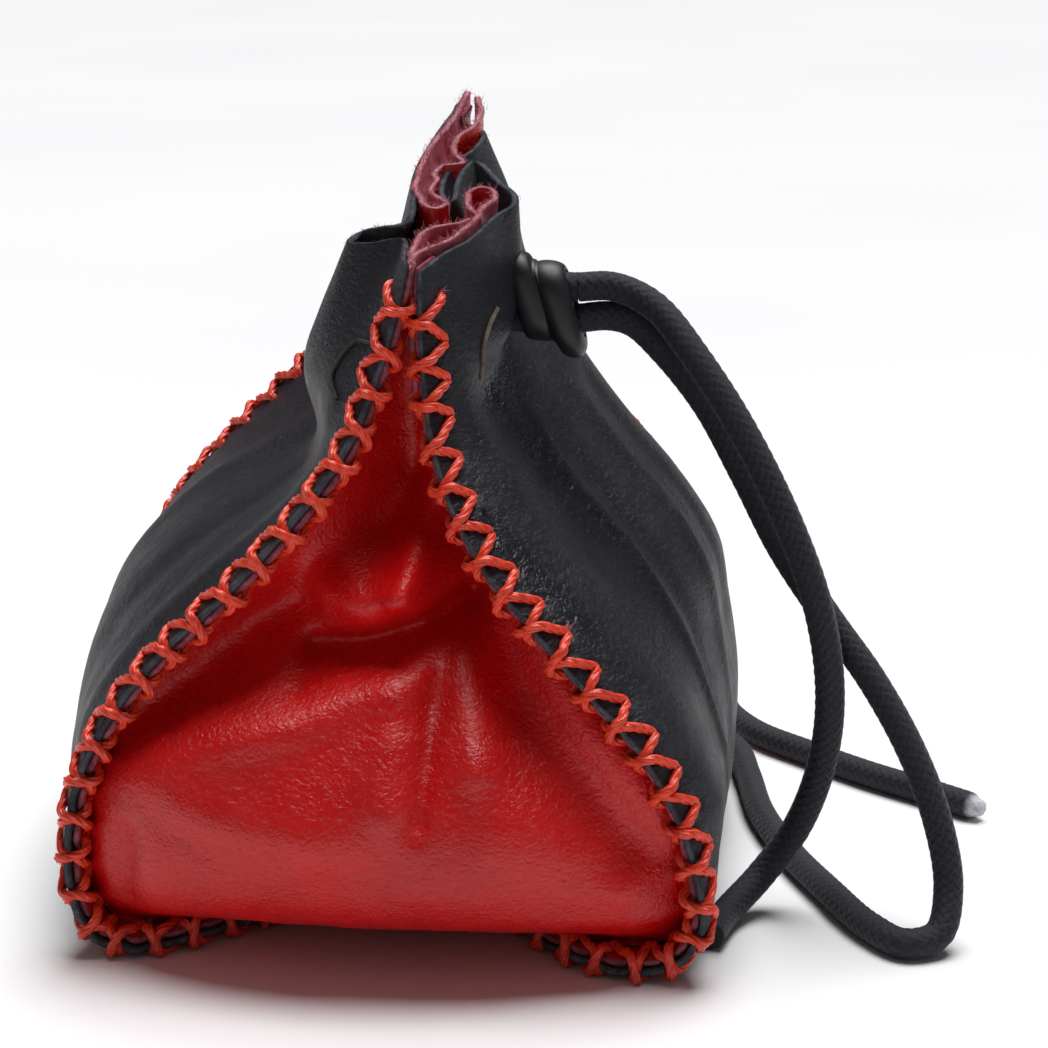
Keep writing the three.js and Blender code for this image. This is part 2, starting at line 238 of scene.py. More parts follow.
# Upper rows of the right wall, round its pleat and the fold behind it.
RIGHT_GATHER = [
    (6.1, -25.4, 83), (8.8, -20.5, 83.2), (11.6, -15, 83.5), (14.4, -8.5, 84), (15.9, -4.8, 84.2),
    (15.8, -1.5, 84.5), (14.4, 2, 84.8), (12.4, 4.8, 85.2), (11.2, 6, 85.6), (10.2, 4.8, 85.6),
    (9.6, 2.5, 86.5), (9.3, 0.5, 87), (8.6, 1.6, 87.5), (8.4, 4.5, 88.5), (9.4, 8.4, 90),
    (11, 13.5, 91.5), (11.8, 22, 94), (6.8, 29.8, 96.2),
]
RIGHT_RIM = [
    (5.9, -24, 89.8), (8.3, -19.2, 91.5), (11.1, -15, 92.7), (14, -7.7, 95), (15.9, -4.7, 95.9),
    (15.7, -1.7, 96.8), (12.8, 2.9, 98.2), (10.3, 7.3, 99.6), (8.3, 9, 100.1), (7, 6.2, 99.2),
    (6.6, 1.4, 97.8), (6.8, -3.6, 96.2), (5.6, -1, 96.8), (5.4, 3.5, 98.3), (6.3, 8.6, 99.9),
    (8.2, 13, 101.2), (8.6, 20, 102.4), (5.6, 29, 102.8),
]


def wall_grid(near, far, bow, skew, outward, upper_rows, upper_knots):
    """The outer face of a wall, with rows from the base crease to the mouth and columns from near to far."""
    shares = lengths(np.asarray(upper_rows[-1], float))
    shares = 0.5 * shares / shares[-1] + 0.5 * np.linspace(0, 1, len(shares))
    net = []
    for a, b, out in zip(np.asarray(near, float), np.asarray(far, float), bow):
        row = a + shares[:, None] * (b - a)
        row[:, 0] += outward * out * np.sin(np.pi * shares ** skew)
        net.append(row)
    net = np.array(net + [np.asarray(row, float) for row in upper_rows])
    rows = spline(net, list(range(len(bow))) + upper_knots, np.linspace(0, MOUTH, WALL_ROWS))
    return spline(rows.swapaxes(0, 1), shares, np.linspace(0, 1, WALL_COLUMNS)).swapaxes(0, 1)


left_grid = wall_grid(
    NEAR_LEFT, FAR_LEFT, LEFT_BOW, 1.0, -1, [LEFT_SHOULDER, LEFT_GATHER, LEFT_RIM], [8, 10.8, MOUTH]
)
right_grid = wall_grid(NEAR_RIGHT, FAR_RIGHT, RIGHT_BOW, 2.0, 1, [RIGHT_GATHER, RIGHT_RIM], [11.3, MOUTH])

# How far the right wall's near border turns outwards, by height.
TURN_HEIGHTS = [0, 12, 22, 60, 72, 84, 90]
TURN_SIZES = [0, 1.2, 5.4, 5.4, 3.4, 1.0, 0.3]


def turned_border(grid):
    """Turns the first few millimetres of the near border outwards, so that its laced edge lies over the gusset."""
    distance = np.array([lengths(row) for row in grid])
    size = np.interp(grid[:, 0, 2], TURN_HEIGHTS, TURN_SIZES)[:, None]
    turn = size * (1 - np.exp(-((distance / 5) ** 1.3))) * np.exp(-((distance / 30) ** 2))
    return grid + turn[..., None] * np.array([1, 0, 0])


right_grid = turned_border(right_grid)

BASE_LEFT, BASE_RIGHT = -31, 35  # x of the two bottom creases
BASE_HALF = 41.5  # from the middle of a crease to its near or far end
# How far forward the base's near edge lies, by its share of the way from the left crease to the right one.
BASE_NEAR_Y = [BASE_HALF, 39.6, 30, 24, 26, 35.5, 40.6, BASE_HALF]
BASE_NEAR_SHARE = [0, 0.075, 0.24, 0.47, 0.72, 0.83, 0.94, 1]


def base_grid():
    """The underside of the base, from the left crease to the right one. Its laced edges are drawn in."""
    x = np.linspace(BASE_LEFT, BASE_RIGHT, BASE_ROWS)[:, None]
    y = np.linspace(-1, 1, WALL_COLUMNS)[None, :]
    t = (x - BASE_LEFT) / (BASE_RIGHT - BASE_LEFT)
    near = spline(BASE_NEAR_Y, BASE_NEAR_SHARE, t[:, 0])[:, None]
    half = np.where(y < 0, near, BASE_HALF - 16 * t * (1 - t))
    edge = ramp(np.abs(y) * half, half - 8, half - 1)
    ends = np.maximum(ramp(-t, -0.12, 0), ramp(t, 0.88, 1))
    z = 0.08 + 1.4 * edge * (1 - ends) + 0.72 * ends
    return np.stack([x + 0 * y, y * half, z], axis=-1)


# The black strip: the left wall downwards, the base, and the right wall upwards.
strip = np.concatenate([left_grid[:0:-1], base_grid(), right_grid[1:]])
LEFT_END = WALL_ROWS - 1
RIGHT_START = LEFT_END + BASE_ROWS - 1


def lacing_rows(column):
    """The rows of the strip at which the lacing holes of one edge lie, and how far along the edge every row is."""
    along = lengths(strip[:, column])
    count = int(round((along[-1] - 7.0) / PITCH))
    places = np.linspace(3.6, along[-1] - 3.8, count + 1)
    places[1:-1] += random.uniform(-0.3, 0.3, count - 1)
    return np.interp(places, along, np.arange(len(along))), along


def bumps(places, centres, width):
    """1 at each of the centres, falling smoothly to 0 beside them."""
    return np.exp(-(((places[:, None] - centres[None]) / width) ** 2)).sum(axis=1)


def laced(strip, column, hole_rows, along):
    """Draws the leather in where the threads cross its cut edge, and down into the holes."""
    strip = strip.copy()
    normals = grid_normals(strip)
    toward = unit(strip[:, 12 if column == 0 else -13] - strip[:, column])
    holes = np.interp(hole_rows, np.arange(len(along)), along)
    crossing = bumps(along, (holes[1:] + holes[:-1]) / 2, 0.95)
    dimple = bumps(along, holes, 1.0)
    for step in range(24):
        i = step if column == 0 else -1 - step
        depth = np.linalg.norm(strip[:, i] - strip[:, column], axis=1)
        edge = np.exp(-((depth / 1.6) ** 2))
        hole = np.exp(-(((depth - HOLE_DEPTH) / 1.0) ** 2))
        puff = np.exp(-(((depth - 1.9) / 1.5) ** 2))
        strip[:, i] += toward * (0.55 * crossing * edge)[:, None]
        lift = 0.30 * puff * (1 - crossing) - 0.34 * hole * dimple - 0.22 * edge * crossing
        strip[:, i] += normals[:, i] * lift[:, None]
    return strip


near_rows, near_along = lacing_rows(0)
far_rows, far_along = lacing_rows(-1)


# Upright folds of the walls: a line of (y, z) points, its width, and how far it stands out (or in, if negative).
RIGHT_WALL_FOLDS = [
    ([(-8, 66), (-9, 50), (-12, 35), (-16, 19)], 1.7, 0.8),
    ([(-3, 66), (-4, 50), (-7, 33), (-10, 16)], 2.4, -0.5),
    ([(8, 68), (8, 50), (6, 34), (2, 20)], 2.0, 0.5),
    ([(14, 68), (15, 50), (13, 34)], 2.2, -0.4),
    ([(-22, 70), (-24, 60), (-26, 50)], 3.2, 0.5),
    ([(-15, 74), (-14, 62)], 3.0, -0.6),
]
LEFT_WALL_FOLDS = [
    ([(-26, 62), (-30, 45), (-33, 30)], 3.0, 0.5),
    ([(-8, 60), (-14, 46), (-20, 30)], 4.0, -0.5),
    ([(14, 66), (14, 48), (10, 30)], 4.0, 0.5),
]

strip_out, height = grid_normals(strip), strip[..., 2]
# How far the leather waves: slowly and finely all over, and in soft upright folds at the neck.
waves = ripples(strip, (0.24, 22, 3), (0.025, 3.1, 8), (0.02, 1.4, 9)) * ramp(height, 1.5, 12)
waves += ripples(strip * np.array([1, 1, 0.25]), (0.05, 7, 5)) * ramp(height, 55, 85)
on_left = np.arange(len(strip))[:, None] <= LEFT_END
on_right = np.arange(len(strip))[:, None] >= RIGHT_START
waves += on_right * folded(strip, RIGHT_WALL_FOLDS, UPRIGHT) + on_left * folded(strip, LEFT_WALL_FOLDS, UPRIGHT)
from_edge = np.minimum(np.arange(WALL_COLUMNS), np.arange(WALL_COLUMNS)[::-1])
strip = strip + (waves * (0.25 + 0.75 * ramp(from_edge, 0, 14)))[..., None] * strip_out
strip = laced(laced(strip, 0, near_rows, near_along), -1, far_rows, far_along)
strip[..., 2] = np.maximum(strip[..., 2], 0.05)
strip_out = grid_normals(strip)


def at_distance(grid, distance, from_near):
    """For each row of the grid, the point at that distance along the row from its near or far end."""
    rows = grid if from_near else grid[:, ::-1]
    return np.concatenate([read(row, [distance], lengths(row)) for row in rows])


class Seam:
    """A laced edge of the strip, from the left mouth down, along the base and up to the right mouth."""

    def __init__(self, label, rows):
        near = label == "near"
        self.label = label
        self.rows = rows
        self.edge = strip[:, 0 if near else -1]
        across = unit(strip[:, 9 if near else -10] - self.edge)
        run = unit(np.gradient(self.edge, axis=0))
        self.out = unit(np.cross(across, run) * (1 if near else -1))
        self.holes = at_distance(strip, HOLE_DEPTH, near)
        self.root = at_distance(strip, FLANGE, near)
        self.away = unit(self.edge - self.holes)


near_seam, far_seam = SEAMS = Seam("near", near_rows), Seam("far", far_rows)


# ---- Meshes ----


def add_mesh(name, points, faces, materials, slots=None, attributes=None):
    mesh = bpy.data.meshes.new(name)
    mesh.from_pydata((np.asarray(points) * MM).tolist(), [], [list(map(int, f)) for f in faces])
    for material in materials:
        mesh.materials.append(material)
    if slots is not None:
        mesh.polygons.foreach_set("material_index", np.asarray(slots, np.int32))
    for label, values in (attributes or {}).items():
        mesh.attributes.new(label, "FLOAT", "POINT").data.foreach_set("value", np.asarray(values, np.float32))
    mesh.polygons.foreach_set("use_smooth", np.ones(len(mesh.polygons), bool))
    mesh.update()
    piece = bpy.data.objects.new(name, mesh)
    scene.collection.objects.link(piece)
    return piece


def add_sheet(name, grid, outward, materials, thickness=LEATHER, keep=None, attributes=None, shading=None):
    """A sheet of leather: the grid is its outer face, the flesh side lies behind it, and its cut edges are round."""
    count = grid.shape[0] * grid.shape[1]
    index = np.arange(count).reshape(grid.shape[:2])
    quads = np.stack([index[:-1, :-1], index[:-1, 1:], index[1:, 1:], index[1:, :-1]], axis=-1).reshape(-1, 4)
    normals = grid_normals(grid)
    if np.sum(normals * outward) < 0:
        normals, quads = -normals, quads[:, ::-1]
    if keep is not None:
        quads = quads[keep.ravel()[quads].all(axis=1)]
    outer, normals = grid.reshape(-1, 3), normals.reshape(-1, 3)
    inner = outer - normals * thickness
    edges = np.concatenate([quads[:, [i, (i + 1) % 4]] for i in range(4)])
    key = np.sort(edges, axis=1) @ np.array([count, 1])
    _, where, uses = np.unique(key, return_index=True, return_counts=True)
    cut = edges[where[uses == 1]]
    push = np.zeros((count, 3))
    for a, b in cut:
        side = np.cross(outer[b] - outer[a], normals[a])
        push[a] += side
        push[b] += side
    rim = np.unique(cut)
    push = unit(push[rim])
    middle = (outer[rim] + inner[rim]) / 2 + CUT_ROUNDING * push
    (a, b), (round_a, round_b) = cut.T, 2 * count + np.searchsorted(rim, cut).T
    round_faces = [(b, a, round_a, round_b), (round_b, round_a, a + count, b + count)]
    faces = [quads, quads[:, ::-1] + count] + [np.stack(corners, axis=1) for corners in round_faces]
    used, faces = np.unique(np.concatenate(faces), return_inverse=True)
    slots = np.repeat([0, 1, 2], [len(quads), len(quads), 2 * len(cut)])
    if shading is not None:
        normals = shading.reshape(-1, 3)
    values = {label: np.asarray(v, float).ravel() for label, v in (attributes or {}).items()}
    values = {label: np.concatenate([v, v, v[rim]])[used] for label, v in values.items()}
    points = np.concatenate([outer, inner, middle])[used]
    piece = add_mesh(name, points, faces.reshape(-1, 4), materials, slots, values)
    normals = np.concatenate([normals, -normals, push])[used]
    piece.data.normals_split_custom_set_from_vertices(normals.tolist())
    return piece


def ring_faces(rings, sides, closed=False):
    """Faces between rings of points, and from the last ring to the first where they are closed."""
    faces = []
    for i in range(rings if closed else rings - 1):
        here, there = i * sides, (i + 1) % rings * sides
        for j in range(sides):
            k = (j + 1) % sides
            faces.append((here + j, here + k, there + k, there + j))
    return faces


def tube(path, radius, sides, relief=None):
    """Points and faces of a tube round the path. The relief stands out by angle and by how far along it is."""
    path = np.asarray(path, float)
    tangents = unit(np.gradient(path, axis=0))
    side = np.array([0.0, 0.0, 1.0]) if abs(tangents[0][2]) < 0.9 else np.array([1.0, 0.0, 0.0])
    along = lengths(path)
    rings = []
    angles = np.linspace(0, 2 * np.pi, sides, endpoint=False)
    radius = np.broadcast_to(radius, len(path))
    for i, (centre, tangent) in enumerate(zip(path, tangents)):
        side = side - tangent * (side @ tangent)
        side = side / np.linalg.norm(side)
        up = np.cross(tangent, side)
        reach = radius[i] + (relief(angles, along[i]) if relief else 0 * angles)
        rings.append(centre + np.outer(reach * np.cos(angles), side) + np.outer(reach * np.sin(angles), up))
    points = np.concatenate(rings)
    ends = [tuple(range(sides))[::-1], tuple(range(len(points) - sides, len(points)))]
    return points, ring_faces(len(path), sides) + ends


def joined(parts):
    """One list of points and faces from several."""
    points, faces, start = [], [], 0
    for part_points, part_faces in parts:
        points.append(part_points)
        faces += [tuple(v + start for v in f) for f in part_faces]
        start += len(part_points)
    return np.concatenate(points), faces


def bend(piece):
    """Bakes the piece's placement into its points. It does not bend."""
    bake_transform(piece)


def settle(piece, slot, *nodes, body=None):
    """The piece takes the place of CAD nodes, which are hidden. It rides on the body, if one is given."""
    if body:
        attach(piece, body)
    if nodes:
        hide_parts(*nodes)


def add_fibres(name, roots, outward, length, material, body, slot, per_root=1, spread=0.5, thickness=0.035):
    """Loose fibres that stand out round the outward direction at each root, as one piece that rides on a body."""
    parts = []
    for root, direction in zip(roots, outward):
        for _ in range(per_root):
            heading = unit(direction + random.normal(0, spread, 3))
            curl = random.normal(0, 0.35, 3)
            reach = length * random.uniform(0.35, 1.0)
            foot = root + random.normal(0, 0.16, 3)
            path = np.array([foot + heading * reach * t + curl * reach * t * t for t in (0.0, 0.4, 0.75, 1.0)])
            parts.append(tube(path, np.array([1.0, 0.8, 0.55, 0.2]) * thickness, 3))
    settle(add_mesh(name, *joined(parts), [material]), slot, body=body)


# ---- Materials ----


class Nodes:
    """A short way to write a node tree."""

    def __init__(self, name):
        self.material = bpy.data.materials.new(name)
        self.material.use_nodes = True
        self.tree = self.material.node_tree
        self.shader = self.tree.nodes["Principled BSDF"]
        self.coordinates = self.add("TexCoord", "Object", {})

    def put(self, node, inputs):
        """Links or sets the inputs of a node."""
        for key, value in inputs.items():
            if isinstance(value, bpy.types.NodeSocket):
                self.tree.links.new(value, node.inputs[key])
            else:
                node.inputs[key].default_value = value

    def add(self, kind, output, inputs, **settings):
        node = self.tree.nodes.new("ShaderNode" + kind)
        for key, value in settings.items():
            setattr(node, key, value)
        self.put(node, inputs)
        return node.outputs[output]

    def scaled(self, factors):
        return self.add("Mapping", "Vector", {"Vector": self.coordinates, "Scale": factors})

    def noise(self, scale, detail, roughness=0.55, vector=None, distortion=0.0):
        inputs = {"Scale": scale, "Detail": detail, "Roughness": roughness, "Distortion": distortion}
        return self.add("TexNoise", "Fac", {"Vector": vector or self.coordinates, **inputs})

    def cells(self, scale, vector=None):
        """How far each point lies from the border of its cell."""
        inputs = {"Vector": vector or self.coordinates, "Scale": scale}
        return self.add("TexVoronoi", "Distance", inputs, feature="DISTANCE_TO_EDGE")

    def attribute(self, name):
        return self.add("Attribute", "Fac", {}, attribute_name=name)

    def range(self, value, low, high, to_low=0.0, to_high=1.0):
        inputs = {"Value": value, "From Min": low, "From Max": high, "To Min": to_low, "To Max": to_high}
        return self.add("MapRange", "Result", inputs, clamp=True)

    def math(self, operation, a, b):
        return self.add("Math", 0, {0: a, 1: b}, operation=operation)

    def mix(self, factor, a, b):
        return self.add("Mix", 2, {0: factor, 6: a, 7: b}, data_type="RGBA")

    def bump(self, height, strength, distance, under=None):
        inputs = {"Strength": strength, "Distance": distance * MM, "Height": height}
        return self.add("Bump", "Normal", {**inputs, "Normal": under} if under else inputs)

    def finish(self, **inputs):
        self.put(self.shader, {key.replace("_", " "): value for key, value in inputs.items()})
        return self.material


def colour(red, green, blue):
    """A display colour, 0 to 255, as the linear colour that shaders use."""
    linear = [c / 255 / 12.92 if c < 10 else ((c / 255 + 0.055) / 1.055) ** 2.4 for c in (red, green, blue)]
    return (*linear, 1.0)


def leather_material(name, base, deep, worn, roughness, grain, specular):
    """Grain leather: pebbles, wrinkles and cracks in the bump, worn high spots, and uneven gloss."""
    n = Nodes(name)
    mottled = n.noise(240, 5, 0.65)
    pebbles = n.range(n.cells(1250), 0.0, 0.3)
    wrinkles = n.noise(900, 5, 0.56, n.scaled((1.0, 1.0, 1.4)), 0.8)
    cracks = n.range(n.cells(420, n.scaled((1.0, 1.0, 0.7))), 0.0, 0.12)
    tone = n.mix(n.range(n.noise(55, 3), 0.35, 0.65), base, deep)
    tone = n.mix(n.range(mottled, 0.55, 0.8, 0.0, 0.25), tone, worn)
    tone = n.mix(n.math("MULTIPLY", n.attribute("wear"), n.range(mottled, 0.4, 0.7, 0.0, 0.3)), tone, worn)
    gloss = n.attribute("gloss")
    normal = n.bump(n.math("MULTIPLY", cracks, n.range(gloss, 0.0, 1.0, 0.2, 1.5)), 0.3, 0.16)
    normal = n.bump(wrinkles, 0.8, 0.3, normal)
    normal = n.bump(pebbles, grain, 0.14, normal)
    matt = n.range(mottled, 0.3, 0.75, roughness - 0.06, roughness + 0.12)
    rough = n.math("ADD", matt, n.math("MULTIPLY", gloss, -0.24))
    return n.finish(Base_Color=tone, Roughness=rough, Normal=normal, Specular_IOR_Level=specular)


def suede_material(name, base, pale, scale=900):
    """The flesh side or a cut edge: matt, fibrous and mottled."""
    n = Nodes(name)
    fibres = n.noise(scale * 2.4, 6, 0.75, n.scaled((1.0, 1.0, 0.6)), 1.2)
    tone = n.mix(n.range(n.noise(scale * 0.4, 4, 0.6), 0.35, 0.7), base, pale)
    tone = n.mix(n.range(fibres, 0.45, 0.75, 0.0, 0.6), tone, pale)
    return n.finish(
        Base_Color=tone, Roughness=0.95, Normal=n.bump(fibres, 1.0, 0.35),
        Sheen_Weight=0.35, Sheen_Roughness=0.5, Sheen_Tint=pale,
    )


def thread_material():
    """Waxed twisted thread: fine filaments along the strands."""
    n = Nodes("lace_thread")
    strand = n.noise(2600, 4, 0.6)
    tone = n.mix(n.range(strand, 0.35, 0.7), colour(222, 48, 24), colour(240, 84, 52))
    tone = n.mix(n.range(n.noise(300, 2), 0.45, 0.75, 0.0, 0.5), tone, colour(190, 28, 18))
    return n.finish(Base_Color=tone, Roughness=0.36, Normal=n.bump(strand, 0.6, 0.1), Specular_IOR_Level=0.5)


def braid_material():
    """Braided cord: dark yarns with a faint sheen, each yarn lined with filaments. Its colour follows the braid's
    relief, with painted shade in the grooves between the yarns and lighter crowns.
    """
    n = Nodes("cord_braid")
    filaments = n.noise(3400, 3, 0.6)
    # Painted shade: darker in the grooves between the yarns and lighter on their crowns, by the braid's relief.
    tone = n.mix(n.range(n.attribute("braid_relief_shade"), 0.1, 0.9), colour(7, 8, 12), colour(31, 33, 42))
    tone = n.mix(n.range(filaments, 0.5, 0.8, 0.0, 0.35), tone, colour(66, 69, 84))
    tone = n.mix(n.attribute("melted"), tone, colour(205, 205, 212))
    return n.finish(
        Base_Color=tone, Roughness=0.78, Normal=n.bump(filaments, 0.7, 0.12), Sheen_Weight=0.2, Sheen_Roughness=0.4,
    )


def plastic_material():
    """Satin black moulding with faint handling marks."""
    n = Nodes("stop_plastic")
    marks = n.noise(700, 5, 0.7, n.scaled((0.3, 1.0, 1.0)))
    tone = n.mix(n.range(marks, 0.4, 0.7), colour(19, 20, 24), colour(30, 31, 36))
    return n.finish(Base_Color=tone, Roughness=n.range(marks, 0.3, 0.7, 0.4, 0.55), Normal=n.bump(marks, 0.25, 0.05))


def floor_material():
    """A pale matt surface with the slightest unevenness."""
    n = Nodes("floor")
    tone = n.mix(n.range(n.noise(4, 2), 0.3, 0.7), colour(250, 250, 251), colour(246, 246, 248))
    return n.finish(Base_Color=tone, Roughness=0.4, Specular_IOR_Level=0.1)


CUT_EDGE = 1300  # a finer noise scale than the flesh side's
black_grain = leather_material(
    "black_leather", colour(33, 31, 39), colour(26, 25, 31), colour(56, 55, 68),
    roughness=0.45, grain=0.2, specular=0.36,
)
black_flesh = suede_material("black_suede", colour(38, 42, 44), colour(86, 92, 92))
black_cut = suede_material("black_cut_edge", colour(38, 41, 47), colour(104, 110, 120), CUT_EDGE)
red_grain = leather_material(
    "red_leather", colour(214, 9, 11), colour(196, 7, 10), colour(220, 24, 24),
    roughness=0.34, grain=0.3, specular=0.5,
)
pink_flesh = suede_material("pink_suede", colour(212, 66, 88), colour(238, 142, 160))
pink_cut = suede_material("pink_cut_edge", colour(226, 104, 126), colour(248, 182, 194), CUT_EDGE)
red_cut = suede_material("red_cut_edge", colour(120, 34, 46), colour(206, 112, 130), CUT_EDGE)
thread, braid, plastic = thread_material(), braid_material(), plastic_material()

# Materials of a panel's grain side, flesh side and cut edges. The liner shows its flesh side.
BLACK = [black_grain, black_flesh, black_cut]
RED = [red_grain, pink_flesh, red_cut]
LINER = [pink_flesh, red_grain, pink_cut]


# ---- Drawstring ----

TAIL_A = [
    (24.3, -3, 84.6), (28.5, -3, 84.8), (32, -3.8, 83.9), (35.5, -5.6, 82), (40.5, -9.2, 76.7),
    (46.9, -13, 68), (53.7, -16.4, 55.6), (58, -17.6, 44.2), (59.8, -17.2, 32.8), (59.1, -15.6, 22.2),
    (55.9, -14.2, 12), (51, -15.6, 5), (46.8, -22, 2.3), (44.8, -30, 2.2),
]
TAIL_B = [
    (24.3, -3, 80.3), (28.5, -3, 80.7), (31.8, -3.2, 79.9), (36, -4.2, 76.4), (42, -5.8, 69.4),
    (47.4, -7, 60), (52.8, -8.9, 50.2), (59.4, -11.6, 41.2), (65.4, -15, 33.9), (70.8, -18.5, 25.4),
    (74.6, -21.6, 16.6), (76.3, -24, 8), (75, -27.6, 2.8), (70.7, -29.4, 2.1), (66.2, -24.6, 2.1),
    (60.8, -13.3, 2.1), (55.2, 0, 2.1), (50.4, 16.5, 2.1), (48, 32, 2.1), (45.6, 44, 2.1), (40.5, 51.5, 2.1),
    (33, 57, 2.1), (28, 65, 2.1), (29.5, 73.5, 2.1), (37, 75.5, 2.1), (42, 69.5, 2.1), (44.4, 60.5, 2.1),
    (49.2, 51.5, 2.1), (57, 43.6, 2.1), (66.9, 34.5, 2.1), (75.9, 27.6, 2.1), (83.4, 21.4, 2.1),
]
LOOP = [
    (3.1, -3, 84.6), (1.2, -3.2, 84.6), (-1, -4.8, 84.5), (-3, -6.2, 84), (-4.6, -5.8, 83.4), (-5.4, -3, 82.4),
    (-4.6, -0.2, 81.4), (-3, 0.2, 80.8), (-1, -1.2, 80.3), (1.2, -2.8, 80.2), (3.1, -3, 80.2),
]
MEET_X = 3.1  # where the loop meets the two runs
BRAID_SIDES = 48
BRAID_YARNS = 8  # in each direction
BRAID_SLOPE = 0.33  # turns of a yarn round the cord for each diameter of length


def braid_height(angles, along):
    """How high the braid stands at each angle, from 0 to 1: yarns of two directions over and under."""
    turn = along * BRAID_SLOPE / CORD * 2 * np.pi
    right = BRAID_YARNS * (angles + turn) / 2
    left = BRAID_YARNS * (angles - turn) / 2
    crossing = np.sin(right) * np.sin(left)
    over = 0.5 + 0.5 * np.sign(crossing) * np.minimum(1, 3 * np.abs(crossing) ** 0.5)
    return over * np.abs(np.cos(left)) ** 0.6 + (1 - over) * np.abs(np.cos(right)) ** 0.6


def add_cord(name, route, melted_end=False):
    """A braided cord along the route, as one mesh tube. Also the points that it follows and its length, in metres."""
    total = lengths(resample(route, 400))[-1]
    path = resample(route, int(total / 0.25), 40)
    along = lengths(path)
    radius = np.full(len(path), CORD / 2 - 0.1)
    melted = np.zeros(len(path))
    if melted_end:
        radius = radius * (1 - 0.42 * ramp(along, total - 2.4, total))
        melted = ramp(along, total - 2.2, total - 0.8)
    points, faces = tube(path, radius, BRAID_SIDES, lambda a, s: 0.24 * (braid_height(a, s) - 0.45))
    angles = np.linspace(0, 2 * np.pi, BRAID_SIDES, endpoint=False)
    # The braid's relief at each point, which the material turns into painted shade in the grooves between the yarns.
    attributes = {
        "braid_relief_shade": np.concatenate([braid_height(angles, s) for s in along]), "melted": np.repeat(melted, BRAID_SIDES),
    }
    piece = add_mesh(name, points, faces, [braid], attributes=attributes)
    return piece, [tuple(p * MM) for p in path[::8]] + [tuple(path[-1] * MM)], total * MM


for tail, route, melted in (("a", TAIL_A, False), ("b", TAIL_B, True)):
    piece, path, size = add_cord(f"drawstring_tail_{tail}_braid", route, melted)
    bend(piece)
    settle(piece, "cord_braid", f"drawstring_tail_{tail}")

piece, _, _ = add_cord("drawstring_loop_braid", LOOP)
bend(piece)
settle(piece, "cord_braid", "drawstring_loop")
for level, z in (("upper", UPPER_CORD), ("lower", LOWER_CORD)):
    piece, _, _ = add_cord(f"drawstring_{level}_braid", [(x, CORD_Y, z) for x in (MEET_X, 10, 17, 24.2)])
    bend(piece)
    settle(piece, "cord_braid", f"drawstring_run_{level}")


# ---- Cord stop ----

STOP_CENTRE = np.array([19.9, CORD_Y, (UPPER_CORD + LOWER_CORD) / 2])
STOP_HALF_LENGTH = 4.0
STOP_STRAIGHT_HALF = 2.2  # of the straight sides of its section
STOP_BORE, STOP_BODY = 2.5, 2.7  # radii at the round ends of its section
STOP_SIDES = 96


def add_cord_stop():
    """An oblong sleeve round both cords, moulded with two rounded ribs and a deep groove between them."""
    around = np.linspace(0, 2 * np.pi, STOP_SIDES, endpoint=False)
    stations = np.linspace(0, 1, 49)

    def rib(share, place, width):
        return math.sqrt(max(0.0, 1 - ((share - place) / width) ** 2))

    rings = []
    for share in stations:
        first, second = rib(share, 0.27, 0.27), rib(share, 0.72, 0.28)
        rings.append((share, STOP_BODY + max(1.3 * first, 1.8 * second), 0.9 * first - 0.9 * second))
    rings += [(share, STOP_BORE, 0.0) for share in stations[::-4]]
    points = []
    for share, reach, shift in rings:
        y = reach * np.cos(around)
        z = reach * np.sin(around) + STOP_STRAIGHT_HALF * np.tanh(4 * np.sin(around)) + shift
        x = (2 * share - 1) * STOP_HALF_LENGTH - 0.3 * z
        points.append(STOP_CENTRE + np.stack([x, y, z], axis=1))
    faces = [face[::-1] for face in ring_faces(len(rings), STOP_SIDES, closed=True)]
    piece = add_mesh("cord_stop_sleeve", np.concatenate(points), faces, [plastic])
    settle(piece, "stop_plastic", "cord_stop", body="cord_stop")


add_cord_stop()


# ---- Black strip ----


def wear_of(grid, normals):
    """1 on ridges and near cut edges, 0 in hollows and on flat leather."""
    smooth = grid.copy()
    for _ in range(6):
        smooth[1:-1, 1:-1] = (smooth[:-2, 1:-1] + smooth[2:, 1:-1] + smooth[1:-1, :-2] + smooth[1:-1, 2:]) / 4
    height = np.sum((grid - smooth) * normals, axis=-1)
    return ramp(height, 0.01, 0.06)


def punch(grid, holes, radius):
    """Opens round holes along X: grid points within the radius are dropped, and those beside them moved onto it."""
    grid = grid.copy()
    keep = np.ones(grid.shape[:2], bool)
    for hole in holes:
        offset = grid[..., 1:] - np.array(hole)
        distance = np.linalg.norm(offset, axis=-1)
        inside = distance < radius
        near = np.zeros_like(inside)
        for down, along in np.ndindex(3, 3):
            near |= np.roll(inside, (down - 1, along - 1), (0, 1))
        near &= ~inside & (distance < radius + 2)
        grid[..., 1:][near] = np.array(hole) + offset[near] * (radius / distance[near])[:, None]
        keep &= ~inside
    return grid, keep


# Where handling has polished and cracked the grain of the right wall, as (y, z) lines, widths and strengths.
POLISHED = [
    ([(-34.5, 60), (-33, 54), (-34, 47)], 2.4, 1),
    ([(-13, 71), (-12, 63), (-14, 54)], 3.2, 1),
]
SECTIONS = {
    "left_wall": slice(0, LEFT_END + 1),
    "base": slice(LEFT_END, RIGHT_START + 1),
    "right_wall": slice(RIGHT_START, None),
}
CORD_HOLES = [(CORD_Y, UPPER_CORD), (CORD_Y, LOWER_CORD)]
HOLED_X = 12.5  # only the outer face of the pleat, beyond this place, has the holes

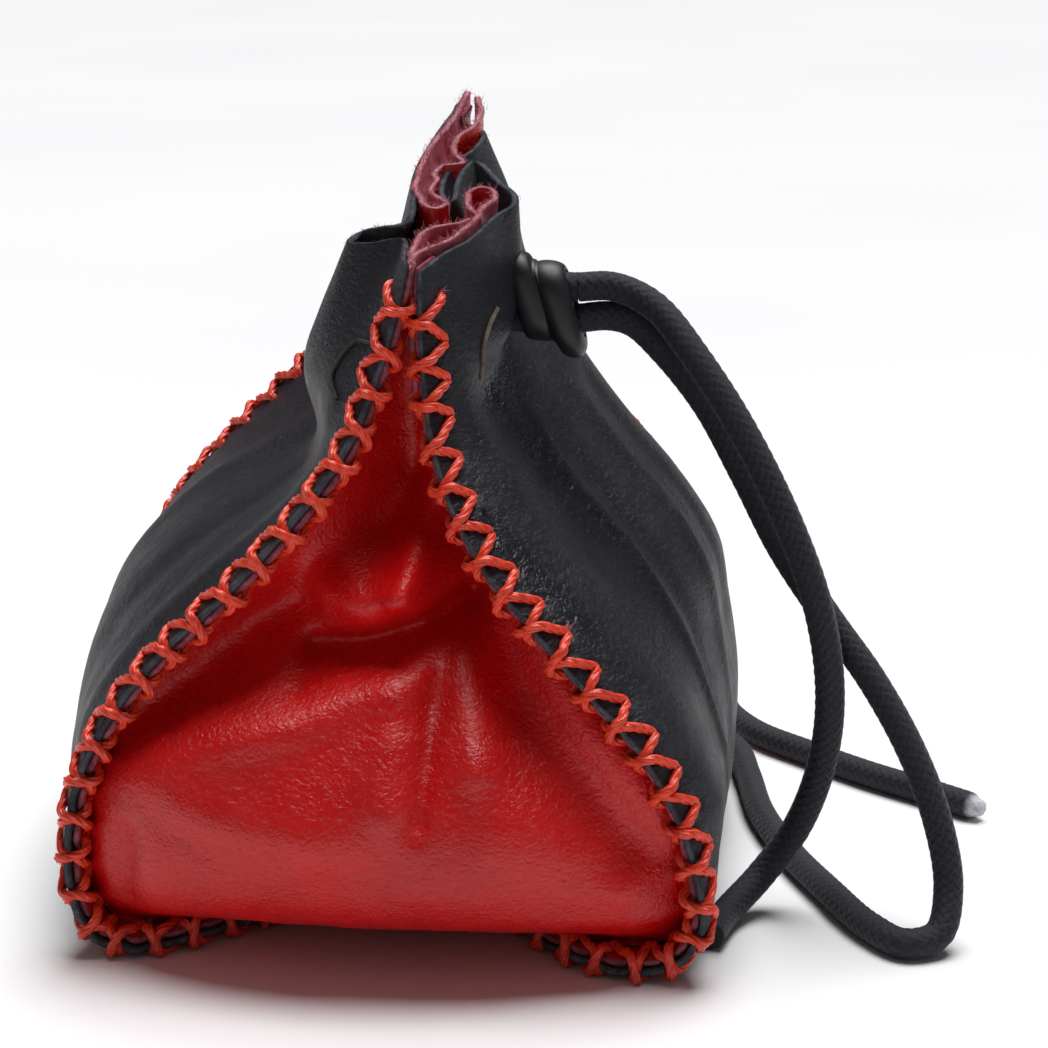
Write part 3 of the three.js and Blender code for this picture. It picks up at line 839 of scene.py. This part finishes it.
strip_wear = wear_of(strip, strip_out)
strip_gloss = np.where(on_right, np.minimum(folded(strip, POLISHED, UPRIGHT), 1), 0)
for body, rows in SECTIONS.items():
    grid, keep = strip[rows], None
    if body == "right_wall":
        face = grid[..., 0] > HOLED_X
        moved, keep = punch(grid, CORD_HOLES, 2.6)
        keep = keep | ~face
        grid = np.where(face[..., None], moved, grid)
    piece = add_sheet(
        f"{body}_leather", grid, strip_out[rows], BLACK, keep=keep, shading=strip_out[rows],
        attributes={"wear": strip_wear[rows], "gloss": strip_gloss[rows]},
    )
    settle(piece, "black_leather", f"outer_{body}", body=body)


# The frayed rim at the mouth.
RIM_POINTS = 1100
for body, row, below in (("left_wall", 0, 2), ("right_wall", -1, -3)):
    rim = resample(strip[row], RIM_POINTS)
    inward = resample(strip[row] - strip_out[row] * LEATHER, RIM_POINTS) - rim
    away = unit(resample(2 * strip[row] - strip[below], RIM_POINTS) - rim)
    roots = rim + inward * random.uniform(0.1, 1, (RIM_POINTS, 1)) - 0.1 * away
    add_fibres(f"{body}_rim_fibres", roots, away, 0.5, black_cut, body, "black_leather", spread=0.6)


# ---- Red gussets ----
GUSSET_COLUMNS = 181
GUSSET_ROWS = 171
PUCKER = 1.6  # how far from the border its puckers reach

NEAR_BELLY = [-4, -2.5, 5.2, 9.2, 9.4, 4.2, -2.2, -6.5, -9.5, -10.5, -7.5, -3, 0]
FAR_BELLY = [-3, 4, 7, 7.5, 5.5, 3, 1.6, 0.8, 0.4, 0.3, 0.2, 0.1, 0]

# Folds of a gusset: a line of (x, z) points, its width, and how far it stands forward (or back, if negative).
NEAR_FOLDS = [
    ([(8.8, 76), (8.2, 64), (6.8, 56), (4.8, 49.5)], 2.8, 4.4),
    ([(5, 51), (0, 49), (-6, 48.6)], 4.2, 7.4),
    ([(12, 46.5), (7, 43.6), (-1, 41.4), (-8, 40.2)], 2.3, -6.4),
    ([(-9, 46.5), (-16, 43), (-24, 37.5), (-32, 32)], 5.6, -7.4),
    ([(3, 62), (0, 56)], 3.4, -2.4),
    ([(-31, 27.5), (-21, 31.5), (-8, 35), (0, 38.5), (7, 41)], 3.2, 2.4),
    ([(9.6, 43), (9.2, 33), (8.6, 24)], 1.7, -1.5),
    ([(4.5, 38), (4.5, 26)], 3.0, 1.5),
    ([(13.6, 43), (16, 31)], 3.0, 2.4),
    ([(11, 56), (15.5, 45), (21, 35.5), (29.5, 26), (39, 16.5)], 4.6, -4.6),
    ([(-28, 26), (-17, 23), (-5, 21)], 4.2, 1.0),
    ([(35, 14), (40, 15.5)], 3.0, 1.2),
    ([(-31, 18), (-31.5, 9)], 2.4, -1.6),
    ([(-26, 22), (-18, 18)], 2.0, -0.4),
]
FAR_FOLDS = [
    ([(-6, 80), (-3, 66), (-1, 56)], 3.2, 2.4),
    ([(-34, 31), (-22, 36), (-8, 40), (3, 42)], 4.2, -3.8),
    ([(8, 47), (20, 41), (31, 33)], 4.4, -3.2),
    ([(-28, 25), (-12, 22), (6, 23)], 5.0, 1.2),
    ([(15, 33), (20, 21)], 3.6, 0.9),
]


def gusset_grid(seam, forward, belly, folds, seed):
    """The grain side of a gusset, from the left border to the right one, and the share of the way of each column."""
    up = np.linspace(0, 1, GUSSET_ROWS)
    back = seam.root - seam.out * LAYERS
    left = read(back, LEFT_END * (1 - up))
    right = read(back, RIGHT_START + (len(strip) - 1 - RIGHT_START) * up)
    even = np.linspace(0, 1, GUSSET_COLUMNS)
    share = 0.5 * even + 0.25 * (1 - np.cos(np.pi * even))
    width = np.linalg.norm(right - left, axis=1)[:, None]
    level = np.linspace(0, MOUTH, GUSSET_ROWS)
    bulge = spline(belly, np.arange(len(belly)), level)[:, None]
    # The panel goes straight across, and leaves each border in a curve. A border's puckers die out close to it.
    grid, leave = 0, 1
    for border, off, curve in ((left, share, 4.2), (right, 1 - share, 4.6)):
        smooth, distance = smoothed(border, 9), off[None] * width
        grid = grid + smooth[:, None] * (1 - off[None, :, None])
        grid = grid + (border - smooth)[:, None] * np.exp(-distance / PUCKER)[..., None]
        leave = leave * (1 - np.exp(-((distance / curve) ** 1.4)))
    reach = (FLANGE - 0.6) * leave * ramp(level, 0.4, 2.2)[:, None] * ramp(width, 0.5, 14)
    reach = reach * (1 - 0.95 * ramp(grid[..., 2], 38, 52)) + bulge * np.sin(np.pi * share[None]) ** 0.75
    reach = reach + folded(grid, folds) * leave
    # The bottom row meets the root of the base flange, which is drawn in between the corners.
    bottom = read(back, LEFT_END + share * (RIGHT_START - LEFT_END))
    bottom[:, 2] += 0.15
    sink = 1 - ramp(level, 0, 1.6)[:, None]
    grid[..., 1] += forward * reach * (1 - sink)
    grid = grid * (1 - sink[..., None]) + bottom[None] * sink[..., None]
    grid[..., 2] = np.maximum(grid[..., 2], 2.3)
    out = ripples(grid, (0.4, 14, seed), (0.14, 5, seed + 1), (0.05, 2.2, seed + 2), (0.03, 1.1, seed + 3))
    calm = leave * ramp(level, 0.5, 2)[:, None]
    return grid + (out * calm)[..., None] * facing(grid, forward), share


def facing(grid, forward):
    """The grid's normals, on the side that faces forward."""
    normals = grid_normals(grid)
    return normals * np.sign(np.sum(normals[..., 1]) * forward)


def flange_grid(seam):
    """The grain side of the gusset's laced border, flat against the strip, from the edge to the root."""
    rows = np.arange(len(strip), dtype=float)
    inner = seam.out * LAYERS
    steps = np.linspace(0, 1, 9)[None, :, None]
    trim = 0.25 * noise(np.stack([rows * 0.9, rows * 0, rows * 0], axis=1), 5, 21)[:, None]
    edge = seam.edge - inner + seam.away * (trim - 0.7)
    return edge[:, None] * (1 - steps) + (seam.root - inner)[:, None] * steps


def add_half(name, side, grid, share, forward, materials, slot, node, thickness=LEATHER, wear=None, shading=None):
    """The left or right half of a gusset's panel. It stretches from the base, at the middle, to its own wall."""
    middle = len(share) // 2
    columns = slice(0, middle + 1) if side == "left" else slice(middle, None)
    pull = (1 - ramp(share, 0, 0.5) if side == "left" else ramp(share, 0.5, 1))[columns]
    half = grid[:, columns]
    attributes = {"pull": np.broadcast_to(pull, half.shape[:2])}
    if wear is not None:
        attributes["wear"] = wear[:, columns]
        shading = shading[:, columns]
    piece = add_sheet(name, half, (0, forward, 0), materials, thickness, attributes=attributes, shading=shading)
    weights = np.zeros(len(piece.data.vertices), np.float32)
    piece.data.attributes["pull"].data.foreach_get("value", weights)
    bend(piece)
    settle(piece, slot, node)


def add_gusset(seam, forward, belly, folds, seed):
    """The outer gusset at one end: its panel and its laced border, both in halves."""
    node = f"{seam.label}_gusset"
    grid, share = gusset_grid(seam, forward, belly, folds, seed)
    shading = facing(grid, forward)
    flange = flange_grid(seam)
    turn = (LEFT_END + RIGHT_START) // 2
    for side, rows in (("left", slice(0, turn + 1)), ("right", slice(turn, None))):
        add_half(
            f"{node}_{side}", side, grid, share, forward, RED, "red_leather", node,
            wear=wear_of(grid, shading), shading=shading,
        )
        border = add_sheet(f"{seam.label}_flange_{side}", flange[rows], -seam.out[rows][:, None], RED)
        bend(border)
        settle(border, "red_leather", node)


# Each end's seam, which way it faces along y, its belly and folds, and the seed of its noise.
GUSSETS = [(near_seam, -1, NEAR_BELLY, NEAR_FOLDS, 31), (far_seam, 1, FAR_BELLY, FAR_FOLDS, 47)]
for gusset in GUSSETS:
    add_gusset(*gusset)


# ---- Lacing ----


def leg_path(seam, start, end, from_black, over):
    """A leg of thread from the hole at row `start` on one side, over the cut edges, to the hole at row `end`.

    It lies straight and tight on both faces, and crosses the edge on top of the other thread where over is 1."""
    tight = LACE_RADIUS * 0.78
    black, red = tight, -(LAYERS + tight)
    first, last = (black, red) if from_black else (red, black)
    half = tight + LAYERS / 2
    side = 1 if from_black else -1
    reach = HOLE_DEPTH - 0.45
    top = HOLE_DEPTH + LACE_RADIUS * (0.25 + 1.0 * over)
    lift = 0.45 * over
    # Share of the way, how far off the face it starts on, and how far from the holes towards the edge.
    climb = [
        (0.0, -2.0, 0.0), (0.02, -0.6, 0.05), (0.06, 0.0, 0.5), (0.2, 0.0, reach * 0.52),
        (0.3, lift * 0.6, reach * 0.84), (0.37, lift - 0.1, reach + 0.1), (0.43, lift - 0.32 * half, top - 0.12),
    ]
    stations = [(share, first + side * off, out) for share, off, out in climb]
    stations.append((0.5, -LAYERS / 2, top))
    stations += [(1 - share, last - side * off, out) for share, off, out in climb[::-1]]
    share, lifts, reaches = (np.array(column) for column in zip(*stations))
    rows = start + (end - start) * share
    return (
        read(seam.holes, rows) + read(seam.away, rows) * reaches[:, None] + read(seam.out, rows) * lifts[:, None]
    )


def strands(twist):
    """The relief of a thread of five strands that twist round it, in turns for each millimetre."""
    return lambda angles, along: 0.3 * LACE_RADIUS * (np.abs(np.cos(5 * (angles / 2 - np.pi * twist * along))) - 1)


def lace_sections(seam):
    """Legs of thread by the body that they ride on."""
    found = {"left_wall": [], "base": [], "right_wall": []}
    for i, (start, end) in enumerate(zip(seam.rows[:-1], seam.rows[1:])):
        middle = (start + end) / 2
        body = "left_wall" if middle < LEFT_END else "right_wall" if middle > RIGHT_START else "base"
        for from_black in (True, False):
            over = 1.0 if from_black == bool(i % 2) else 0.0
            wobble = random.uniform(-0.25, 0.25, 2)
            path = resample(leg_path(seam, start + wobble[0], end + wobble[1], from_black, over), 64)
            path[:, 2] = np.maximum(path[:, 2], LACE_RADIUS + 0.02)
            found[body].append(tube(path, LACE_RADIUS, 30, strands(random.uniform(0.1, 0.14))))
    return found


for seam in SEAMS:
    for body, legs in lace_sections(seam).items():
        stretch = "bottom" if body == "base" else body.split("_")[0]
        piece = add_mesh(f"{seam.label}_{body}_thread", *joined(legs), [thread])
        settle(piece, "lace_thread", f"{seam.label}_{stretch}_lacing", body=body)


# Fibres that the needle and the knife have raised on the cut edges of both layers. None stands at a crease.
SPANS = {
    "left_wall": (0, LEFT_END - 4),
    "base": (LEFT_END + 4, RIGHT_START - 4),
    "right_wall": (RIGHT_START + 4, len(strip) - 1),
}
EDGES = [  # layer, its depth, how far its edge is trimmed back, its material and slot
    ("black", 0.0, 0.1, black_cut, "black_leather"), ("red", LEATHER + LAYER_GAP, 0.8, pink_cut, "red_leather"),
]
for seam in SEAMS:
    for body, (first, last) in SPANS.items():
        for layer, depth, trim, material, slot in EDGES:
            rows = np.arange(first, last, 0.28)
            away = read(seam.away, rows)
            inward = read(seam.out, rows) * (depth + random.uniform(0.1, 0.9, (len(rows), 1)) * LEATHER)
            roots = read(seam.edge, rows) - inward - trim * away
            roots[:, 2] = np.maximum(roots[:, 2], 0.8)
            add_fibres(f"{seam.label}_{body}_{layer}_fibres", roots, away, 0.7, material, body, slot, spread=0.7)


# Frayed leather and a thread end at three holes of the near right seam.
for index, height, material, reach in ((1, 60.5, black_cut, 2.2), (2, 46.5, pink_cut, 1.6), (3, 86.5, pink_cut, 1.0)):
    row = RIGHT_START + np.argmin(np.abs(near_seam.holes[RIGHT_START:, 2] - height))
    out = unit(near_seam.out[row] - near_seam.away[row])
    add_fibres(
        f"near_seam_tuft_{index}", near_seam.holes[[row]], [out], reach, material, "right_wall", "black_leather",
        per_root=26, spread=0.28, thickness=0.06,
    )


# ---- Cut holes ----

paler = suede_material("hole_edge", colour(92, 82, 70), colour(150, 136, 116), CUT_EDGE)
darker = suede_material("pleat_hole_edge", colour(38, 41, 40), colour(70, 74, 70), CUT_EDGE)
# The raw lips of two holes cut through the walls beside the cord, as (x, z) lines on the near half of the wall.
CUT_HOLES = [
    ("slit", "right_wall", [(14.1, 83), (13.3, 81.2), (12.7, 78.1), (12.4, 74)], 0.3, paler),
    ("pleat", "left_wall", [(-0.6, 80.5), (-3.7, 79.3), (-6.1, 76.7), (-6.8, 74.3), (-5.5, 72.2)], 0.24, darker),
]
for label, body, line, thickness, material in CUT_HOLES:
    region = SECTIONS[body], slice(0, 80)
    wall, out = strip[region].reshape(-1, 3), strip_out[region].reshape(-1, 3)
    nearest = [np.argmin(np.hypot(wall[:, 0] - x, wall[:, 2] - z)) for x, z in line]
    path = smoothed(resample(wall[nearest] + 0.2 * out[nearest], 48), 6)
    piece = add_mesh(f"{body}_{label}_lip", *tube(path, thickness, 10), [material])
    settle(piece, "black_leather", body=body)


# ---- Liner ----

LINER_PANELS = {  # rows and columns of the strip, and the air behind the outer leather
    "left_wall": (slice(12, LEFT_END - 6, 2), slice(20, -20, 2), 0.6),
    "right_wall": (slice(RIGHT_START + 8, len(strip) - 12, 2), slice(20, -20, 2), 0.6),
    "base": (slice(LEFT_END + 3, RIGHT_START - 2, 2), slice(24, -24, 2), 0.5),
}
for body, (rows, columns, air) in LINER_PANELS.items():
    out = strip_out[rows, columns]
    grid, keep = strip[rows, columns] - out * (LEATHER + air), None
    if body != "base":
        grid, keep = punch(grid, [(CORD_Y, (UPPER_CORD + LOWER_CORD) / 2)], 5.2)
    piece = add_sheet(f"liner_{body}_leather", grid, out, LINER, LINER_LEATHER, keep)
    settle(piece, "liner_leather", f"liner_{body}", body=body)

for seam, forward, belly, folds, _ in GUSSETS:
    grid, share = gusset_grid(seam, forward, belly, folds, 61)
    grid, share = grid[8:-40:2, 6:-6:2], share[6:-6:2]
    grid[..., 1] -= forward * 3.0
    node = f"liner_{seam.label}_gusset"
    for side in ("left", "right"):
        add_half(f"{node}_{side}", side, grid, share, forward, LINER, "liner_leather", node, LINER_LEATHER)

# The liner's ruffled rim, as ribbons that follow it from the mouth down into the neck.
RIM_RIBBONS = {
    "left": ("left_wall", [
        (5, 31.5, 107), (4.7, 26.5, 105.5), (3.7, 19.7, 103.4), (2.2, 10.9, 100.7), (1.7, 3.9, 98.5),
        (2.3, -1.5, 96.9), (4, -5.4, 95.7), (5.3, -6.7, 95.3), (6.3, -5.3, 95.7),
    ]),
    "ripple": ("right_wall", [
        (6.3, -5.3, 95.7), (4.2, -3.1, 96.4), (3.2, -0.1, 97.3), (3.9, 1.9, 97.9), (3.3, 4, 98.6),
        (4.1, 6.4, 99.3), (5.8, 6.8, 99.4), (6.7, 7.4, 99.6), (4.8, 10.7, 100.6), (4.4, 13.9, 101.6),
        (5.1, 16.8, 102.5), (6.6, 19, 103.2), (7.1, 21.7, 104), (5.7, 29.6, 106.4),
    ]),
    "loop": ("right_wall", [
        (11.1, -9, 94.6), (9, -5.2, 95.7), (8.5, -1.9, 96.8), (9.8, -0.2, 97.3), (11.9, -0.3, 97.2),
        (13, -1.8, 96.8), (13, -4.4, 96), (12, -7.7, 95), (10.8, -12.2, 93.6), (8.9, -15.8, 92.5),
        (6.5, -18.6, 91.6), (4.9, -20.8, 91), (4.6, -23.4, 90.2),
    ]),
    "inner": ("right_wall", [
        (10.6, -10.4, 94.3), (9.6, -11.6, 93.9), (7.8, -12, 93.7), (5.7, -13.1, 93.3), (4.7, -15.3, 92.7),
        (4.7, -18, 91.8), (4.4, -20.5, 91),
    ]),
}
NECK_MIDDLE = np.array([6.5, 2.0])
RIBBON_DEPTH, RIBBON_LEATHER = 18, 0.95
for label, (body, line) in RIM_RIBBONS.items():
    total = lengths(resample(line, 200))[-1]
    top = resample(line, int(total / 0.45))
    top[:, 2] += 0.3
    depth = np.linspace(0, 1, 40)[:, None]
    grid = np.repeat(top[None], len(depth), axis=0)
    grid[..., 2] -= RIBBON_DEPTH * depth
    grid[..., :2] += (NECK_MIDDLE - grid[..., :2]) * (0.14 * depth[..., None])
    normals = grid_normals(grid)
    flutter = ripples(grid * np.array([1, 1, 0.4]), (0.35, 3.2, 71)) + ripples(grid, (0.12, 1.2, 72))
    grid = grid + normals * (flutter * (1 - 0.6 * depth))[..., None]
    piece = add_sheet(f"liner_rim_{label}", grid, normals, LINER, RIBBON_LEATHER)
    settle(piece, "liner_leather", body=body)
    rim = resample(grid[0], int(total / 0.09))
    across = resample(grid[0] - RIBBON_LEATHER * normals[0], len(rim)) - rim
    rim = rim + across * random.uniform(0, 1, (len(rim), 1))
    up = np.array([0, 0, 1.0]) + unit(across) * random.uniform(-0.9, 0.9, (len(rim), 1))
    add_fibres(f"liner_rim_{label}_fibres", rim, unit(up), 0.85, pink_cut, body, "liner_leather", thickness=0.045)


# ---- Floor and light ----


def add_floor():
    bpy.ops.mesh.primitive_plane_add(size=24, location=(0, 8.0, 0))
    floor = bpy.context.object
    floor.name = "floor"
    floor.data.materials.append(floor_material())


def add_sun(strength, softness, elevation, azimuth):
    """A soft light overhead, with its angles in degrees."""
    data = bpy.data.lights.new("overhead", "SUN")
    data.energy = strength
    data.angle = math.radians(softness)
    light = bpy.data.objects.new("overhead", data)
    light.rotation_euler = (math.radians(90 - elevation), 0, math.radians(azimuth))
    scene.collection.objects.link(light)


def add_world(strength):
    world = bpy.data.worlds.new("studio")
    world.use_nodes = True
    background = world.node_tree.nodes["Background"]
    background.inputs["Color"].default_value = (1, 1, 1, 1)
    background.inputs["Strength"].default_value = strength
    scene.world = world


add_floor()
add_sun(strength=3.55, softness=40, elevation=75, azimuth=164)
add_world(strength=0.1)
scene.view_settings.view_transform = "Standard"
